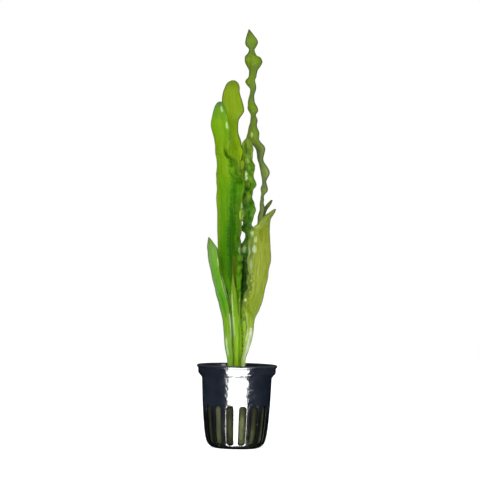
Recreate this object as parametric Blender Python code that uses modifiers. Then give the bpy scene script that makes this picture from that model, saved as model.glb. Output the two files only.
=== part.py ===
"""A small potted water plant: a slotted plastic pot, its plug of stone wool and eight leaves.

Metres, +Z up. The origin is the centre of the pot's underside. The camera side is -Y.
"""
import math

import bmesh
import bpy
import numpy as np

MM = 0.001
GAP = 0.0003

# Pot, in metres
POT_HEIGHT = 51.6 * MM
RIM_RADIUS = 25.0 * MM
COLLAR_RADIUS = 24.1 * MM
BODY_RADIUS = 21.6 * MM
FOOT_RADIUS = 13.0 * MM
WALL = 1.2 * MM
FLOOR = 1.4 * MM
COLLAR_FOOT = 46.4 * MM
BODY_TOP = 43.6 * MM
TURNING_STEPS = 48

# Slots in the pot's wall
SLOT_COUNT = 16
SLOT_WIDTH = 4.6 * MM
SLOT_FOOT = 2.6 * MM
SLOT_TOP = 26.8 * MM
SLOT_INNER_RADIUS = 14.6 * MM
SLOT_OUTER_RADIUS = 27.0 * MM
SLOT_ROUNDING = 1.9 * MM

# Stone wool plug, with a pocket that holds the leaf stalks
WOOL_TOP = 46.0 * MM
POCKET_RADIUS = 9.2 * MM
POCKET_FLOOR = 40.0 * MM

# Leaves: the whole plant leans a little to the left of upright above its crown
CROWN_HEIGHT = POCKET_FLOOR + GAP
LEAN_PER_METRE = math.tan(math.radians(1.1))
STALK_THICKNESS = 1.3 * MM
BLADE_THICKNESS = 0.6 * MM
STALK_TO_BLADE = 30.0 * MM

# Each station of a leaf, in millimetres and degrees:
# height, distance right of the plant's line, depth (+ is back), half width, turn about the upright
LEAF_TALL_RIBBON = [
    (40.3, 2.7, 3.9, 1.1, 0), (54, 3.0, 4.4, 1.2, 0), (72, 5.1, 5.4, 1.3, 5),
    (90, 7.1, 6.5, 1.5, 10), (110, 9.4, 7.6, 1.7, 5), (129, 11.8, 8.5, 2.0, -15),
    (140, 14.2, 8.9, 2.2, -35), (149.4, 15.4, 9.1, 2.3, -48), (155, 15.3, 9.2, 2.4, -72),
    (160, 16.6, 9.2, 3.0, -50), (165.5, 16.6, 9.2, 3.2, -64), (170.7, 17.3, 9.1, 3.5, -44),
    (180.4, 13.8, 8.8, 3.9, -64), (184.6, 14.4, 8.6, 4.3, -52), (192.8, 9.4, 8.2, 4.8, -36),
    (200, 9.5, 7.8, 4.4, -54), (206.5, 9.7, 7.3, 4.4, -70), (211.2, 9.2, 7.0, 4.4, -42),
    (215, 8.1, 6.7, 4.4, -67), (222.4, 9.3, 6.1, 4.4, -72), (227.8, 7.5, 5.7, 4.9, -48),
    (230.9, 9.2, 5.5, 4.6, -58), (234, 9.1, 5.3, 4.8, -62), (237, 10.0, 5.1, 5.2, -34),
    (240.2, 10.4, 4.8, 5.4, 0), (242.6, 10.3, 4.6, 5.2, 16), (244.2, 10.1, 4.5, 4.8, 54),
    (247, 10.1, 4.4, 4.4, 68), (249.9, 9.7, 4.2, 4.2, 36), (252.6, 9.2, 4.0, 3.9, 0),
    (256.4, 8.2, 3.8, 2.3, -24), (259.8, 7.6, 3.6, 0.3, -36),
]
LEAF_ROUND_TIP = [
    (40.3, -1.8, 1.8, 1.3, 4), (54, -1.8, 2.2, 1.5, 4), (70, -2.0, 3.2, 1.9, 8),
    (90, -2.5, 4.6, 2.7, 12), (110, -3.0, 6.0, 3.6, 16), (130, -2.9, 7.2, 4.2, 20),
    (150, -1.8, 8.2, 4.9, 22), (165, 0.2, 8.6, 5.1, 20), (178.6, 0.4, 8.7, 5.3, 16),
    (189, -2.1, 8.6, 5.0, 12), (196, -4.0, 8.4, 5.0, 8), (203, -3.9, 8.2, 5.1, 4),
    (209.6, -2.5, 8.0, 6.8, 4), (215.8, -2.9, 7.8, 6.3, 4), (220.7, -3.3, 7.6, 5.3, 4),
    (224.2, -2.8, 7.5, 4.5, 4), (226.6, -2.5, 7.4, 3.3, 4), (228.2, -2.1, 7.4, 0.9, 4),
]
LEAF_STRAP = [
    (40.3, 0.5, -1.3, 2.2, 0), (54, 0.5, -1.6, 2.5, 0), (67, 0.1, -1.8, 3.0, 0),
    (79.4, -0.9, -2.1, 3.3, -4), (91.8, -2.0, -2.5, 4.4, -8), (104, -3.7, -3.0, 6.6, -12),
    (116.6, -4.3, -3.5, 7.5, -14), (128.5, -5.0, -4.0, 7.4, -15), (133, -4.7, -4.2, 7.8, -15),
    (144.5, -4.8, -4.7, 7.9, -16), (154, -4.8, -5.1, 8.4, -16), (161, -4.3, -5.4, 9.0, -20),
    (165.5, -4.2, -5.7, 9.6, -24), (170.4, -6.3, -6.0, 8.0, -30), (174.5, -6.3, -6.3, 7.8, -32),
    (178, -6.6, -6.5, 7.4, -32), (182, -9.1, -6.8, 6.5, -46), (186, -9.5, -7.1, 6.3, -46),
    (191, -9.0, -7.4, 6.3, -30), (200, -10.4, -8.0, 5.9, -12), (206.6, -10.4, -8.4, 4.5, -8),
    (210.6, -10.5, -8.7, 3.3, -8), (212.8, -10.5, -8.8, 2.0, -8), (213.9, -10.4, -8.9, 0.7, -8),
]
LEAF_RUFFLED = [
    (40.3, 2.9, 1.1, 1.1, 0), (54, 3.0, 1.3, 1.2, 0), (67, 3.5, 1.6, 1.8, 2),
    (79, 3.7, 1.9, 2.2, 6), (92, 3.8, 2.1, 2.8, 12), (104, 4.1, 2.2, 3.8, 18),
    (116.6, 4.9, 2.2, 4.8, 26), (125.0, 6.1, 2.2, 4.8, 32), (128.4, 7.5, 2.2, 3.6, 32),
    (132.6, 8.1, 2.2, 3.0, 32), (135.2, 6.6, 2.1, 4.6, 32), (139.8, 7.1, 2.1, 3.5, 30),
    (142.8, 6.0, 2.0, 5.2, 28), (148.4, 6.8, 1.9, 5.3, 26), (154, 6.1, 1.6, 4.6, 20),
    (159.5, 6.2, 1.3, 4.4, 16), (163.6, 6.9, 1.1, 5.0, 12), (169.4, 6.4, 0.6, 4.4, 2),
    (175, 6.6, 0.0, 4.4, -6), (181, 6.2, -0.9, 3.7, -14), (185.5, 6.6, -1.6, 3.6, -16),
    (188.9, 6.4, -2.1, 3.2, -18), (192.0, 6.4, -2.7, 0.6, -18),
]
LEAF_BROAD_RIGHT = [
    (40.3, 3.7, -2.7, 1.2, 14), (54, 4.1, -3.6, 1.4, 16), (60.8, 5.8, -4.4, 1.7, 18),
    (67, 7.3, -5.3, 2.2, 20), (73, 8.2, -6.3, 2.4, 22), (79.4, 8.4, -7.3, 3.0, 24),
    (82.4, 8.8, -7.8, 3.9, 25), (85.6, 9.1, -8.4, 5.7, 26), (91.8, 10.3, -9.5, 6.9, 28),
    (98, 12.0, -10.6, 6.6, 28), (104, 13.1, -11.6, 6.9, 28), (112, 13.9, -12.8, 7.6, 28),
    (120, 14.4, -13.6, 8.3, 28), (127, 14.4, -14.1, 7.5, 28), (133.5, 14.6, -14.4, 7.0, 28),
    (136.8, 15.3, -14.5, 6.4, 29), (139.2, 17.1, -14.5, 4.3, 30), (142, 18.2, -14.5, 3.5, 32),
    (144.5, 20.2, -14.4, 2.8, 30), (146.6, 22.2, -14.2, 1.8, 28), (148.3, 23.6, -14.1, 0.6, 28),
]
LEAF_SMALL_LEFT = [
    (40.3, -3.7, -2.0, 1.4, -14), (54, -4.1, -3.1, 2.0, -16), (63.9, -5.2, -4.0, 2.6, -20),
    (72.5, -5.6, -5.1, 2.9, -24), (83, -6.9, -6.7, 3.2, -28), (91.8, -8.9, -8.3, 3.8, -32),
    (99.8, -11.1, -9.9, 3.6, -34), (108.5, -13.1, -11.7, 3.7, -36), (116.6, -14.5, -13.3, 4.0, -36),
    (122.8, -15.2, -14.6, 4.0, -36), (127, -16.3, -15.5, 2.2, -36), (130.2, -17.1, -16.3, 0.3, -36),
]
LEAF_YOUNG = [
    (40.3, -0.1, -4.7, 1.1, 0), (53, -0.2, -5.3, 1.2, 0), (67, -0.3, -6.0, 1.5, 0),
    (79.4, -0.9, -6.3, 1.8, 0), (91.8, -1.5, -6.4, 1.9, 0), (101, -2.2, -6.3, 1.0, 0),
    (107.3, -2.5, -6.2, 0.3, 0),
]
LEAF_NARROW_RIGHT = [
    (40.3, 0.6, 6.4, 1.0, -20), (60, 2.7, 8.0, 1.2, -28), (80, 5.4, 9.9, 1.7, -36),
    (100, 8.3, 11.9, 2.6, -42), (120, 11.6, 13.7, 2.8, -44), (134, 14.2, 14.7, 2.3, -40),
    (143, 16.0, 15.1, 1.8, -32), (147.6, 17.5, 15.2, 1.5, -22), (151.4, 20.0, 15.3, 1.4, -10),
    (154.2, 21.9, 15.3, 0.6, -10),
]

# For each leaf: stations, rows to a station, columns, cup, ruffle height and length in mm,
# height in mm where the blade begins, colour
LEAVES = {
    "leaf_tall_ribbon": (LEAF_TALL_RIBBON, 2, 4, 0.36, 0.0, 12.0, 120.0, (0.19, 0.30, 0.03)),
    "leaf_round_tip": (LEAF_ROUND_TIP, 2, 4, -0.16, 0.7, 17.0, 110.0, (0.21, 0.33, 0.01)),
    "leaf_strap": (LEAF_STRAP, 2, 4, 0.18, 0.5, 19.0, 84.0, (0.15, 0.38, 0.01)),
    "leaf_ruffled": (LEAF_RUFFLED, 2, 4, 0.10, 0.9, 12.0, 96.0, (0.05, 0.18, 0.01)),
    "leaf_broad_right": (LEAF_BROAD_RIGHT, 2, 4, 0.20, 0.6, 15.0, 80.0, (0.30, 0.38, 0.05)),
    "leaf_small_left": (LEAF_SMALL_LEFT, 2, 4, 0.18, 0.0, 16.0, 70.0, (0.16, 0.36, 0.05)),
    "leaf_young": (LEAF_YOUNG, 2, 4, 0.20, 0.0, 16.0, 70.0, (0.28, 0.42, 0.06)),
    "leaf_narrow_right": (LEAF_NARROW_RIGHT, 2, 4, -0.16, 0.0, 14.0, 70.0, (0.20, 0.27, 0.06)),
}


def clear_scene():
    for item in list(bpy.data.objects):
        bpy.data.objects.remove(item, do_unlink=True)


def new_collection(name):
    collection = bpy.data.collections.new(name)
    bpy.context.scene.collection.children.link(collection)
    return collection


def add_object(name, mesh, collection):
    item = bpy.data.objects.new(name, mesh)
    collection.objects.link(item)
    return item


def plain_material(name, colour, roughness):
    material = bpy.data.materials.new(name)
    material.use_nodes = True
    shader = material.node_tree.nodes["Principled BSDF"]
    shader.inputs["Base Color"].default_value = (*colour, 1.0)
    shader.inputs["Roughness"].default_value = roughness
    shader.inputs["Metallic"].default_value = 0.0
    return material


def shade_round(item, angle_deg):
    item.data.shade_smooth()
    item.data.set_sharp_from_angle(angle=math.radians(angle_deg))


def turned_object(name, profile, collection):
    """Turn a profile of (radius, height) points about Z; it ends going down the outer side."""
    mesh = bpy.data.meshes.new(name)
    points = [(radius, 0.0, height) for radius, height in profile]
    edges = [(i, i + 1) for i in range(len(points) - 1)]
    mesh.from_pydata(points, edges, [])
    item = add_object(name, mesh, collection)
    screw = item.modifiers.new("turn", "SCREW")
    screw.axis = "Z"
    screw.angle = math.tau
    screw.steps = TURNING_STEPS
    screw.render_steps = TURNING_STEPS
    screw.use_merge_vertices = True
    screw.merge_threshold = 0.00001
    screw.use_smooth_shade = True
    return item


def body_radius(height):
    """Outer radius of the pot's wall under the collar, easing into the rounded foot."""
    knots = [0.0, 1.6, 4.6, 9.0, 16.0, 28.0, BODY_TOP / MM]
    radii = [FOOT_RADIUS / MM, 16.4, 18.3, 19.3, 20.1, 21.0, BODY_RADIUS / MM]
    return float(np.interp(height / MM, knots, radii)) * MM


def pot_profile():
    """Inner side from the floor's centre up, over the rolled rim, and down the outer side."""
    wall_heights = [28.0, 16.0, 9.0, 4.6, 1.6]
    inner = [(0.0, FLOOR), (FOOT_RADIUS - 0.4 * MM, FLOOR)]
    for height in reversed(wall_heights[:-1]):
        inner.append((body_radius(height * MM) - WALL, height * MM + 0.3 * WALL))
    inner.append((BODY_RADIUS - WALL, BODY_TOP))
    inner.append((COLLAR_RADIUS - WALL, COLLAR_FOOT))
    inner.append((COLLAR_RADIUS - WALL + 0.3 * MM, POT_HEIGHT - 1.2 * MM))
    lip_radius = 0.95 * MM
    lip_centre = (RIM_RADIUS - lip_radius, POT_HEIGHT - lip_radius)
    lip = []
    for step in range(6):
        angle = math.radians(150 - 210 * step / 5)
        lip.append((lip_centre[0] + lip_radius * math.cos(angle),
                    lip_centre[1] + lip_radius * math.sin(angle)))
    outer = [(COLLAR_RADIUS + 0.1 * MM, POT_HEIGHT - 2.2 * MM)]
    outer.append((COLLAR_RADIUS, COLLAR_FOOT + 0.4 * MM))
    outer.append((COLLAR_RADIUS - 0.7 * MM, COLLAR_FOOT - 0.6 * MM))
    outer.append((BODY_RADIUS + 0.3 * MM, BODY_TOP))
    for height in wall_heights:
        outer.append((body_radius(height * MM), height * MM))
    outer.append((FOOT_RADIUS, 0.0))
    outer.append((0.0, 0.0))
    return inner + lip + outer


def make_slot_cutter(collection):
    """One mesh of upright round-ended blocks, one for each slot, set about the Z axis."""
    bm = bmesh.new()
    length = SLOT_OUTER_RADIUS - SLOT_INNER_RADIUS
    middle = 0.5 * (SLOT_OUTER_RADIUS + SLOT_INNER_RADIUS)
    for index in range(SLOT_COUNT):
        block = bmesh.ops.create_cube(bm, size=1.0)["verts"]
        bmesh.ops.scale(bm, vec=(length, SLOT_WIDTH, SLOT_TOP - SLOT_FOOT), verts=block)
        edges = {edge for vert in block for edge in vert.link_edges}
        lengthwise = [e for e in edges if abs(e.verts[0].co.x - e.verts[1].co.x) > 0.5 * length]
        rounded = bmesh.ops.bevel(bm, geom=lengthwise, offset=SLOT_ROUNDING, segments=3,
                                  profile=0.5, affect="EDGES")
        block = list({v for face in rounded["faces"] for v in face.verts})
        bmesh.ops.translate(bm, vec=(middle, 0.0, 0.5 * (SLOT_TOP + SLOT_FOOT)), verts=block)
        angle = math.tau * (index + 0.5) / SLOT_COUNT + math.pi / 2
        turn = np.array([[math.cos(angle), -math.sin(angle)], [math.sin(angle), math.cos(angle)]])
        for vert in block:
            vert.co.x, vert.co.y = turn @ np.array([vert.co.x, vert.co.y])
    mesh = bpy.data.meshes.new("slot_cutter")
    bm.to_mesh(mesh)
    bm.free()
    cutter = add_object("slot_cutter", mesh, collection)
    cutter.hide_render = True
    cutter.display_type = "WIRE"
    return cutter


def make_pot(parts, cutters):
    pot = turned_object("pot", pot_profile(), parts)
    slots = pot.modifiers.new("slots", "BOOLEAN")
    slots.operation = "DIFFERENCE"
    slots.solver = "EXACT"
    slots.object = make_slot_cutter(cutters)
    pot.data.materials.append(plain_material("black_plastic", (0.012, 0.016, 0.022), 0.25))
    return pot


def make_stone_wool(parts):
    """A plug that fills the pot up to its collar, with a pocket for the stalks at the top."""
    side = WALL + 1.5 * GAP
    profile = [(0.0, POCKET_FLOOR), (POCKET_RADIUS, POCKET_FLOOR), (POCKET_RADIUS, WOOL_TOP)]
    profile.append((BODY_RADIUS - side - 1.0 * MM, WOOL_TOP - 0.6 * MM))
    profile.append((BODY_RADIUS - side, BODY_TOP - 0.4 * MM))
    for height in [28.0, 16.0, 9.0, 4.6]:
        profile.append((body_radius(height * MM) - side, height * MM + 0.3 * WALL))
    profile.append((FOOT_RADIUS - 0.6 * MM, FLOOR + GAP))
    profile.append((0.0, FLOOR + GAP))
    wool = turned_object("stone_wool", profile, parts)
    wool.modifiers["turn"].steps = TURNING_STEPS // 2
    wool.modifiers["turn"].render_steps = TURNING_STEPS // 2
    wool.data.materials.append(plain_material("stone_wool", (0.11, 0.13, 0.03), 0.95))
    return wool


def smooth_through(knots, values, at):
    """Cubic curve through the values, level at each high and low point so it never overshoots."""
    knots, values, at = (np.asarray(row, dtype=float) for row in (knots, values, at))
    slopes = np.diff(values) / np.diff(knots)
    tangents = np.concatenate([slopes[:1], np.zeros(len(slopes) - 1), slopes[-1:]])
    same_way = slopes[:-1] * slopes[1:] > 0
    before, after = slopes[:-1][same_way], slopes[1:][same_way]
    tangents[1:-1][same_way] = 2 * before * after / (before + after)
    index = np.clip(np.searchsorted(knots, at) - 1, 0, len(slopes) - 1)
    width = knots[index + 1] - knots[index]
    t = (at - knots[index]) / width
    start = (1 + 2 * t) * (1 - t) ** 2 * values[index] + t * (1 - t) ** 2 * width * tangents[index]
    end = t * t * (3 - 2 * t) * values[index + 1] + t * t * (t - 1) * width * tangents[index + 1]
    return start + end


def row_heights(stations, rows_each):
    """Heights of the leaf's rows: each station and the even steps between two of them."""
    heights = [station[0] for station in stations]
    count = (len(heights) - 1) * rows_each + 1
    return np.interp(np.linspace(0, len(heights) - 1, count), range(len(heights)), heights)


def make_leaf(name, parts):
    """A leaf as a sheet over (u, row), bent to its stations and given thickness."""
    stations, rows_each, columns, cup, ruffle, wave_length, blade_foot, colour = LEAVES[name]
    heights = row_heights(stations, rows_each)
    rows = len(heights) - 1
    table = np.array(stations, dtype=float)
    across, depth, half_width, turn = (
        smooth_through(table[:, 0], table[:, column], heights) for column in range(1, 5))
    blade = np.clip((heights - blade_foot) / (STALK_TO_BLADE / MM) + 0.5, 0.0, 1.0)
    blade = blade * blade * (3 - 2 * blade)

    bm = bmesh.new()
    bmesh.ops.create_grid(bm, x_segments=columns, y_segments=rows, size=1.0)
    mesh = bpy.data.meshes.new(name)
    bm.to_mesh(mesh)
    bm.free()
    leaf = add_object(name, mesh, parts)
    group = leaf.vertex_groups.new(name="thickness")
    for vert in mesh.vertices:
        u = vert.co.x
        row = round((vert.co.y + 1) * rows / 2)
        angle = math.radians(turn[row])
        wave = math.sin(math.tau * heights[row] / wave_length + (1.9 if u > 0 else 0.0))
        sag = cup * half_width[row] * (u * u - 1 / 3)
        lift = sag + ruffle * blade[row] * abs(u) ** 3 * wave
        lean = LEAN_PER_METRE * (heights[row] * MM - CROWN_HEIGHT)
        side = half_width[row] * u
        vert.co.x = (across[row] + side * math.cos(angle) - lift * math.sin(angle)) * MM - lean
        vert.co.y = (depth[row] + side * math.sin(angle) + lift * math.cos(angle)) * MM
        vert.co.z = heights[row] * MM
        thin = BLADE_THICKNESS / STALK_THICKNESS
        group.add([vert.index], 1.0 - (1.0 - thin) * blade[row], "REPLACE")
    solid = leaf.modifiers.new("thickness", "SOLIDIFY")
    solid.thickness = STALK_THICKNESS
    solid.offset = 0.0
    solid.vertex_group = "thickness"
    leaf.data.materials.append(plain_material(name, colour, 0.35))
    shade_round(leaf, 60)
    return leaf


def main():
    clear_scene()
    parts = new_collection("potted_aponogeton")
    cutters = new_collection("cutters")
    make_pot(parts, cutters)
    make_stone_wool(parts)
    for name in LEAVES:
        make_leaf(name, parts)


main()
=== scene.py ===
import math

import bmesh
import bpy
import numpy as np
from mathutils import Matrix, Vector, noise


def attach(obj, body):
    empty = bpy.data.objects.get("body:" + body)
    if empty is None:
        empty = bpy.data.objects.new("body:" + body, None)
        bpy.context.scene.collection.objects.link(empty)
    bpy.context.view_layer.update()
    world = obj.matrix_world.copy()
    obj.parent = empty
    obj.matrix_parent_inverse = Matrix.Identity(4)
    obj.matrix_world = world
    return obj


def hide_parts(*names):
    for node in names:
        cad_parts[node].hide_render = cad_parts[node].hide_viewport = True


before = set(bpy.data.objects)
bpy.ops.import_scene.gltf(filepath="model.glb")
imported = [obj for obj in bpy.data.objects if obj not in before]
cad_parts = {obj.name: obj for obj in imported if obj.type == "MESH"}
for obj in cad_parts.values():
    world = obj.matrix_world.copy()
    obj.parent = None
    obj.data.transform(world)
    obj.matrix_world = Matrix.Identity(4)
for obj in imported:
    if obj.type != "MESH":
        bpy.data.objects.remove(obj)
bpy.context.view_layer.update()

MM = 0.001
WHITE = (1.0, 1.0, 1.0, 1.0)

# The photograph's view, in metres: nearly level, from far off, rolled a little
CAMERA_DISTANCE = 1.6
CAMERA_HEIGHT = 0.1288
CAMERA_ACROSS = 0.0003
CAMERA_ROLL_DEG = -1.1
VIEW_WIDTH = 0.2976
SENSOR_WIDTH = 36.0

# The studio: its floor in metres, and the brightness of its sky and of the sky's reflections
STUDIO_RADIUS = 1.3
SKY = 0.5
SKY_IN_GLOSS = 0.12

# Pot, in millimetres
POT_HEIGHT = 51.6
RIM_RADIUS = 25.0
LIP_RADIUS = 0.95
COLLAR_RADIUS = 24.1
COLLAR_FOOT = 46.4
BODY_TOP = 43.6
WALL = 1.2
POT_FLOOR = 1.4
WALL_HEIGHTS = [0.0, 0.5, 1.6, 3.0, 4.6, 6.6, 9.0, 12.0, 16.0, 22.0, 28.0, 36.0, 43.6]
WALL_RADII = [13.0, 14.6, 16.4, 17.6, 18.3, 18.85, 19.3, 19.72, 20.1, 20.6, 21.0, 21.35, 21.6]
SLOT_COUNT = 16
SLOT_WIDTH = 4.6
SLOT_FOOT = 2.6
SLOT_TOP = 26.8
SLOT_CORNER = 1.9
SLOT_REACH = (14.6, 27.0)
EDGE_ROUNDING = 0.22
TURNING_STEPS = 192

# The plastic's gloss, outside and inside the wall, where inside is this deep under the skin
GLOSS = 0.5
GLOSS_INSIDE = 0.02
SKIN_DEPTH = 0.12

# Heights on the pot between which it turns dusty, dull and greenish, and matt at the lip
DUSTY = (40.0, 50.0)
DULL = (29.0, 19.0)
MATT = (50.6, 51.3)

# Stone wool, in millimetres, its fibres' measures as ranges. A path from 0 to 1 leads up its
# side, and from 1 to 2 in over its top. Hardly a fibre runs along ASLANT, which sets its sides.
WOOL_FOOT = POT_FLOOR + 0.5
WOOL_TOP = 45.6
WOOL_RADIUS = 20.0
WOOL_CLEARANCE = 0.5
WOOL_BULGE = 0.75
SIDE_ROUGHNESS = 0.16
TOP_ROUGHNESS = 0.5
CROWN_RADIUS = 7.0
CROWN_POCKET = 2.6
WOOL_TURNS = 256
WOOL_ROWS = 150
FIBRES = 3600
FIBRES_PER_TOP_FIBRE = 5
FIBRE_STEPS = 5
FIBRE_LENGTHS = (2.0, 5.5)
FIBRE_WIDTHS = (0.035, 0.07)
FIBRE_LIFTS = (0.02, 0.22)
PATHS_UP_SIDE = (0.03, 0.62)
PATHS_OVER_TOP = (1.02, 1.75)
ASLANT = (0.3, 0.2, 0.93)

# Leaves, as in the frame: millimetres and degrees
CROWN_HEIGHT = 40.3
LEAN_PER_MM = math.tan(math.radians(1.1))
STALK_TO_BLADE = 30.0
STALK_THICKNESS = 1.25
BLADE_THICKNESS = 0.2
VEIN_RISE = 0.05
RUFFLE_FADE = 8.0
RUFFLE_SLANT = 2.4
RUFFLE_SPREAD = 0.3
TIP_FADE = (0.5, 12.0)
TIP_LENGTH = 4.0
ROW_STEP = 0.55
CROSS_VEIN_STEP = 1.8

# Widths across a leaf as shares of its half width
FOLD_WIDTH = 0.26
MIDRIB_WIDTH = 0.09

# Colours are as the screen shows them, from 0 to 255
# The first is painted shade and the second painted highlight, laid on the leaves; the third is painted
# shade just inside their margins
PAINTED_SHADE = (30, 76, 0)
PAINTED_HIGHLIGHT = (196, 222, 150)
PAINTED_EDGE_SHADE = (54, 64, 28)

# Each station: height, distance right of the plant's line, depth, half width, turn
LEAF_TALL_RIBBON = [
    (40.3, 2.7, 3.9, 1.1, 0), (54, 3.0, 4.4, 1.2, 0), (72, 5.1, 5.4, 1.3, 5),
    (90, 7.1, 6.5, 1.5, 10), (110, 9.4, 7.6, 1.7, 5), (129, 11.8, 8.5, 2.0, -15),
    (140, 14.2, 8.9, 2.2, -35), (149.4, 15.4, 9.1, 2.3, -48), (155, 15.3, 9.2, 2.4, -72),
    (160, 16.6, 9.2, 3.0, -50), (165.5, 16.6, 9.2, 3.2, -64), (170.7, 17.3, 9.1, 3.5, -44),
    (180.4, 13.8, 8.8, 3.9, -64), (184.6, 14.4, 8.6, 4.3, -52), (192.8, 9.4, 8.2, 4.8, -36),
    (200, 9.5, 7.8, 4.4, -54), (206.5, 9.7, 7.3, 4.4, -70), (211.2, 9.2, 7.0, 4.4, -42),
    (215, 8.1, 6.7, 4.4, -67), (222.4, 9.3, 6.1, 4.4, -72), (227.8, 7.5, 5.7, 4.9, -48),
    (230.9, 9.2, 5.5, 4.6, -58), (234, 9.1, 5.3, 4.8, -62), (237, 10.0, 5.1, 5.2, -34),
    (240.2, 10.4, 4.8, 5.4, 0), (242.6, 10.3, 4.6, 5.2, 16), (244.2, 10.1, 4.5, 4.8, 54),
    (247, 10.1, 4.4, 4.4, 68), (249.9, 9.7, 4.2, 4.2, 36), (252.6, 9.2, 4.0, 3.9, 0),
    (256.4, 8.2, 3.8, 2.3, -24), (259.8, 7.6, 3.6, 0.3, -36),
]
LEAF_ROUND_TIP = [
    (40.3, -1.8, 1.8, 1.3, 4), (54, -1.8, 2.2, 1.5, 4), (70, -2.0, 3.2, 1.9, 8),
    (90, -2.5, 4.6, 2.7, 12), (110, -3.0, 6.0, 3.6, 16), (130, -2.9, 7.2, 4.2, 20),
    (150, -1.8, 8.2, 4.9, 22), (165, 0.2, 8.6, 5.1, 20), (178.6, 0.4, 8.7, 5.3, 16),
    (189, -2.1, 8.6, 5.0, 12), (196, -4.0, 8.4, 5.0, 8), (203, -3.9, 8.2, 5.1, 4),
    (209.6, -2.5, 8.0, 6.8, 4), (215.8, -2.9, 7.8, 6.3, 4), (220.7, -3.3, 7.6, 5.3, 4),
    (224.2, -2.8, 7.5, 4.5, 4), (226.6, -2.5, 7.4, 3.3, 4), (228.2, -2.1, 7.4, 0.9, 4),
]
LEAF_STRAP = [
    (40.3, 0.5, -1.3, 2.2, 0), (54, 0.5, -1.6, 2.5, 0), (67, 0.1, -1.8, 3.0, 0),
    (79.4, -0.9, -2.1, 3.3, -4), (91.8, -2.0, -2.5, 4.4, -8), (104, -3.7, -3.0, 6.6, -12),
    (116.6, -4.3, -3.5, 7.5, -14), (128.5, -5.0, -4.0, 7.4, -15), (133, -4.7, -4.2, 7.8, -15),
    (144.5, -4.8, -4.7, 7.9, -16), (154, -4.8, -5.1, 8.4, -16), (161, -4.3, -5.4, 9.0, -20),
    (165.5, -4.2, -5.7, 9.6, -24), (170.4, -6.3, -6.0, 8.0, -30), (174.5, -6.3, -6.3, 7.8, -32),
    (178, -6.6, -6.5, 7.4, -32), (182, -9.1, -6.8, 6.5, -46), (186, -9.5, -7.1, 6.3, -46),
    (191, -9.0, -7.4, 6.3, -30), (200, -10.4, -8.0, 5.9, -12), (206.6, -10.4, -8.4, 4.5, -8),
    (210.6, -10.5, -8.7, 3.3, -8), (212.8, -10.5, -8.8, 2.0, -8), (213.9, -10.4, -8.9, 0.7, -8),
]
LEAF_RUFFLED = [
    (40.3, 2.9, 1.1, 1.1, 0), (54, 3.0, 1.3, 1.2, 0), (67, 3.5, 1.6, 1.8, 2),
    (79, 3.7, 1.9, 2.2, 6), (92, 3.8, 2.1, 2.8, 12), (104, 4.1, 2.2, 3.8, 18),
    (116.6, 4.9, 2.2, 4.8, 26), (125.0, 6.1, 2.2, 4.8, 32), (128.4, 7.5, 2.2, 3.6, 32),
    (132.6, 8.1, 2.2, 3.0, 32), (135.2, 6.6, 2.1, 4.6, 32), (139.8, 7.1, 2.1, 3.5, 30),
    (142.8, 6.0, 2.0, 5.2, 28), (148.4, 6.8, 1.9, 5.3, 26), (154, 6.1, 1.6, 4.6, 20),
    (159.5, 6.2, 1.3, 4.4, 16), (163.6, 6.9, 1.1, 5.0, 12), (169.4, 6.4, 0.6, 4.4, 2),
    (175, 6.6, 0.0, 4.4, -6), (181, 6.2, -0.9, 3.7, -14), (185.5, 6.6, -1.6, 3.6, -16),
    (188.9, 6.4, -2.1, 3.2, -18), (192.0, 6.4, -2.7, 0.6, -18),
]
LEAF_BROAD_RIGHT = [
    (40.3, 3.7, -2.7, 1.2, 14), (54, 4.1, -3.6, 1.4, 16), (60.8, 5.8, -4.4, 1.7, 18),
    (67, 7.3, -5.3, 2.2, 20), (73, 8.2, -6.3, 2.4, 22), (79.4, 8.4, -7.3, 3.0, 24),
    (82.4, 8.8, -7.8, 3.9, 25), (85.6, 9.1, -8.4, 5.7, 26), (91.8, 10.3, -9.5, 6.9, 28),
    (98, 12.0, -10.6, 6.6, 28), (104, 13.1, -11.6, 6.9, 28), (112, 13.9, -12.8, 7.6, 28),
    (120, 14.4, -13.6, 8.3, 28), (127, 14.4, -14.1, 7.5, 28), (133.5, 14.6, -14.4, 7.0, 28),
    (136.8, 15.3, -14.5, 6.4, 29), (139.2, 17.1, -14.5, 4.3, 30), (142, 18.2, -14.5, 3.5, 32),
    (144.5, 20.2, -14.4, 2.8, 30), (146.6, 22.2, -14.2, 1.8, 28), (148.3, 23.6, -14.1, 0.6, 28),
]
LEAF_SMALL_LEFT = [
    (40.3, -3.7, -2.0, 1.4, -14), (54, -4.1, -3.1, 2.0, -16), (63.9, -5.2, -4.0, 2.6, -20),
    (72.5, -5.6, -5.1, 2.9, -24), (83, -6.9, -6.7, 3.2, -28), (91.8, -8.9, -8.3, 3.8, -32),
    (99.8, -11.1, -9.9, 3.6, -34), (108.5, -13.1, -11.7, 3.7, -36), (116.6, -14.5, -13.3, 4.0, -36),
    (122.8, -15.2, -14.6, 4.0, -36), (127, -16.3, -15.5, 2.2, -36), (130.2, -17.1, -16.3, 0.3, -36),
]
LEAF_YOUNG = [
    (40.3, -0.1, -4.7, 1.1, 0), (53, -0.2, -5.3, 1.2, 0), (67, -0.3, -6.0, 1.5, 0),
    (79.4, -0.9, -6.3, 1.8, 0), (91.8, -1.5, -6.4, 1.9, 0), (101, -2.2, -6.3, 1.0, 0),
    (107.3, -2.5, -6.2, 0.3, 0),
]
LEAF_NARROW_RIGHT = [
    (40.3, 0.6, 6.4, 1.0, -20), (60, 2.7, 8.0, 1.2, -28), (80, 5.4, 9.9, 1.7, -36),
    (100, 8.3, 11.9, 2.6, -42), (120, 11.6, 13.7, 2.8, -44), (134, 14.2, 14.7, 2.3, -40),
    (143, 16.0, 15.1, 1.8, -32), (147.6, 17.5, 15.2, 1.5, -22), (151.4, 20.0, 15.3, 1.4, -10),
    (154.2, 21.9, 15.3, 0.6, -10),
]
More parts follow.
